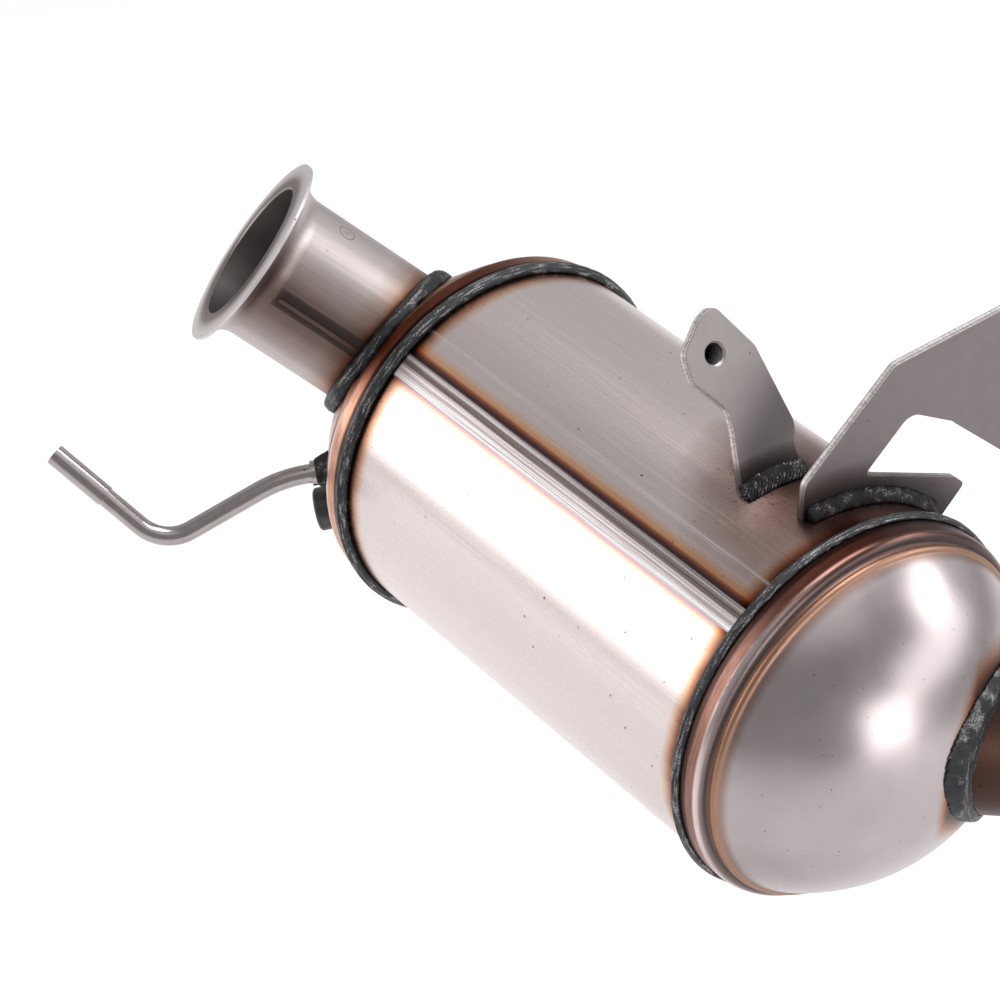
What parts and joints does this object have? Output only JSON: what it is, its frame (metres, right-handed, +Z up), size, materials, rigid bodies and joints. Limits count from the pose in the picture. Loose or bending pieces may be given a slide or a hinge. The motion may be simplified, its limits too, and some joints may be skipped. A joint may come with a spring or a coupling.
{
  "type": "diesel particulate filter",
  "caption": "Welded stainless filter canister with domed ends, oblique flared inlet pipe, outlet stub, bent pressure tube, sensor boss and two brackets.",
  "frame": {"origin": "midway between the mounting bracket's two bolt holes, on the bracket's front face", "axes": "+X along the canister's axis from inlet to outlet, +Z up, +Y away from the canister's seam side"},
  "size_m": [0.4243, 0.2764, 0.2182],
  "materials": {
    "shell_steel": "satin rolled stainless with heat tint",
    "cap_steel": "satin pressed stainless with heat tint",
    "pipe_steel": "drawn stainless with heat tint",
    "bracket_steel": "blanked stainless plate",
    "tube_steel": "polished stainless tube",
    "weld_metal": "rippled oxidised weld bead",
    "seam_metal": "planished weld seam",
    "boss_steel": "dark oxidised turned steel",
    "brick_ceramic": "matte silicon carbide",
    "mat_fibre": "fibrous alumina mat",
    "wire_mesh": "knitted wire"
  },
  "bodies": {
    "root": {"canister_shell": "shell_steel", "canister_seam_weld": "seam_metal", "inlet_cap": "cap_steel", "inlet_rim_weld": "weld_metal", "inlet_pipe": "pipe_steel", "inlet_pipe_seam_weld": "seam_metal", "inlet_pipe_weld": "weld_metal", "outlet_dome": "cap_steel", "outlet_rim_weld": "weld_metal", "outlet_pipe": "pipe_steel", "outlet_pipe_weld": "weld_metal", "pressure_tube": "tube_steel", "pressure_tube_sleeve": "tube_steel", "pressure_tube_collar": "tube_steel", "pressure_tube_weld": "weld_metal", "sensor_boss": "boss_steel", "sensor_boss_weld": "weld_metal", "tab_bracket": "bracket_steel", "tab_bracket_weld": "weld_metal", "mounting_bracket": "bracket_steel", "mounting_bracket_weld": "weld_metal", "filter_monolith": "brick_ceramic", "mounting_mat": "mat_fibre", "inlet_mat_ring": "wire_mesh", "outlet_mat_ring": "wire_mesh"}
  },
  "joints": []
}
